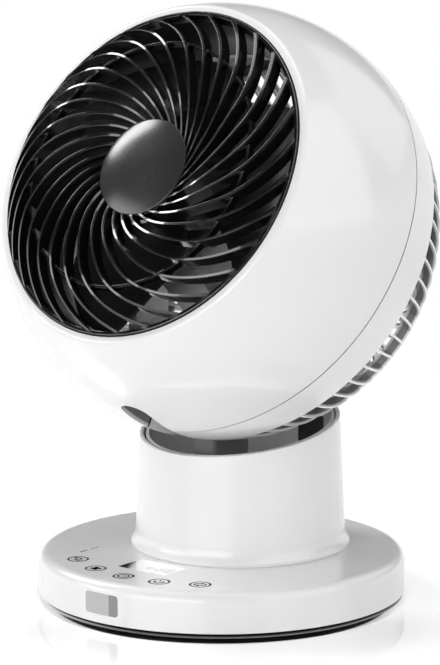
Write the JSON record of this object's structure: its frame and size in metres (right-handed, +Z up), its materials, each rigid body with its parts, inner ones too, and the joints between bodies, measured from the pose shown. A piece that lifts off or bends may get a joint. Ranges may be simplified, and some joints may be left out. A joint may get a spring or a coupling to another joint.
{
  "type": "air circulator fan",
  "caption": "Ball-shaped desk air circulator: a tilting head with a spiral-ribbed grille and rear guard on a swivelling neck and round base with keys and a display",
  "frame": {"origin": "centre of the foot pad's underside, on the table", "axes": "+Z up, -Y the side the controls and the grille face, +X to the right seen from the front"},
  "size_m": [0.21, 0.2005, 0.2875],
  "materials": {
    "white_shell": "moulded, high gloss",
    "key_white": "moulded, flush with the panel",
    "black_pan": "moulded, satin black",
    "pad_rubber": "matt black",
    "smoked_window": "smoked, polished",
    "black_module": "moulded",
    "board_green": "lacquered circuit board",
    "ballast_steel": "plain plate",
    "screw_steel": "zinc plated",
    "bearing_plastic": "natural slippery plastic",
    "frame_grey": "moulded grey",
    "duct_grey": "moulded dark grey",
    "motor_metal": "pressed case",
    "core_steel": "stacked sheet",
    "coil_copper": "varnished wire",
    "grille_dark": "moulded, satin black",
    "badge_plain": "plain domed cap, black, polished"
  },
  "bodies": {
    "base": {"base_cover": "white_shell", "base_pan": "black_pan", "foot_pad": "pad_rubber", "base_screws": "screw_steel", "ballast_plate": "ballast_steel", "control_board": "board_green", "board_screws": "screw_steel", "tact_switches": "black_module", "display_window": "smoked_window", "display_module": "black_module", "ir_window": "smoked_window", "ir_receiver": "black_module", "cord_bushing": "black_pan", "slide_ring": "bearing_plastic", "swing_sun_gear": "bearing_plastic", "sun_gear_screws": "screw_steel"},
    "neck": {"swing_turntable": "bearing_plastic", "turntable_screws": "screw_steel", "swing_motor": "motor_metal", "swing_motor_screws": "screw_steel", "neck_shell": "white_shell", "neck_liner": "frame_grey", "wire_grommet": "pad_rubber", "tilt_yoke": "frame_grey", "tilt_gear": "bearing_plastic", "tilt_gear_screws": "screw_steel", "tilt_spacers": "bearing_plastic"},
    "head": {"tilt_pins": "screw_steel", "pin_clips": "screw_steel", "tilt_bracket_left": "frame_grey", "tilt_bracket_right": "frame_grey", "tilt_motor": "motor_metal", "tilt_motor_screws": "screw_steel", "front_shell": "white_shell", "rear_shell": "white_shell", "rear_guard": "white_shell", "shell_screws": "screw_steel", "duct_ring": "duct_grey", "motor_mount": "frame_grey", "frame_screws": "screw_steel", "front_grille": "grille_dark", "grille_badge": "badge_plain", "motor_front_case": "motor_metal", "motor_rear_case": "motor_metal", "motor_screws": "screw_steel", "case_screws": "screw_steel", "motor_bearings": "screw_steel", "stator_core": "core_steel", "stator_coils": "coil_copper"},
    "fan": {"impeller": "black_pan", "impeller_nut": "black_pan", "rotor": "core_steel", "motor_shaft": "screw_steel"},
    "swing_drive": {"swing_pinion": "bearing_plastic"},
    "tilt_drive": {"tilt_pinion": "bearing_plastic"},
    "key_swing_cap": {"key_swing": "key_white"},
    "key_tilt_cap": {"key_tilt": "key_white"},
    "key_speed_cap": {"key_speed": "key_white"},
    "key_power_cap": {"key_power": "key_white"},
    "key_timer_cap": {"key_timer": "key_white"}
  },
  "joints": [
    {"name": "swing", "type": "hinge", "parent": "base", "child": "neck", "pos_m": [0, 0.0145, 0.0249], "axis": [0, 0, 1], "range_deg": [-45, 45]},
    {"name": "tilt", "type": "hinge", "parent": "neck", "child": "head", "pos_m": [0, 0, 0.1825], "axis": [-1, 0, 0], "range_deg": [-30, 60]},
    {"name": "fan_spin", "type": "hinge", "parent": "head", "child": "fan", "pos_m": [0, 0, 0.1825], "axis": [0, -0.866, 0.5], "continuous": true},
    {"name": "swing_drive_turn", "type": "hinge", "parent": "neck", "child": "swing_drive", "pos_m": [0, 0.0475, 0.0299], "axis": [0, 0, 1], "range_deg": [-203, 203]},
    {"name": "tilt_drive_turn", "type": "hinge", "parent": "head", "child": "tilt_drive", "pos_m": [0.05125, 0.01748, 0.20334], "axis": [-1, 0, 0], "range_deg": [-141, 281]},
    {"name": "key_swing_press", "type": "slide", "parent": "base", "child": "key_swing_cap", "axis": [0, 0, -1], "range_m": [0, 0.0005], "stiffness_N_per_m": 400, "springref_m": -0.0005},
    {"name": "key_tilt_press", "type": "slide", "parent": "base", "child": "key_tilt_cap", "axis": [0, 0, -1], "range_m": [0, 0.0005], "stiffness_N_per_m": 400, "springref_m": -0.0005},
    {"name": "key_speed_press", "type": "slide", "parent": "base", "child": "key_speed_cap", "axis": [0, 0, -1], "range_m": [0, 0.0005], "stiffness_N_per_m": 400, "springref_m": -0.0005},
    {"name": "key_power_press", "type": "slide", "parent": "base", "child": "key_power_cap", "axis": [0, 0, -1], "range_m": [0, 0.0005], "stiffness_N_per_m": 400, "springref_m": -0.0005},
    {"name": "key_timer_press", "type": "slide", "parent": "base", "child": "key_timer_cap", "axis": [0, 0, -1], "range_m": [0, 0.0005], "stiffness_N_per_m": 400, "springref_m": -0.0005}
  ],
  "couplings": [
    {"joint": "swing_drive_turn", "follows": "swing", "ratio": 4.5},
    {"joint": "tilt_drive_turn", "follows": "tilt", "ratio": 4.6667}
  ]
}
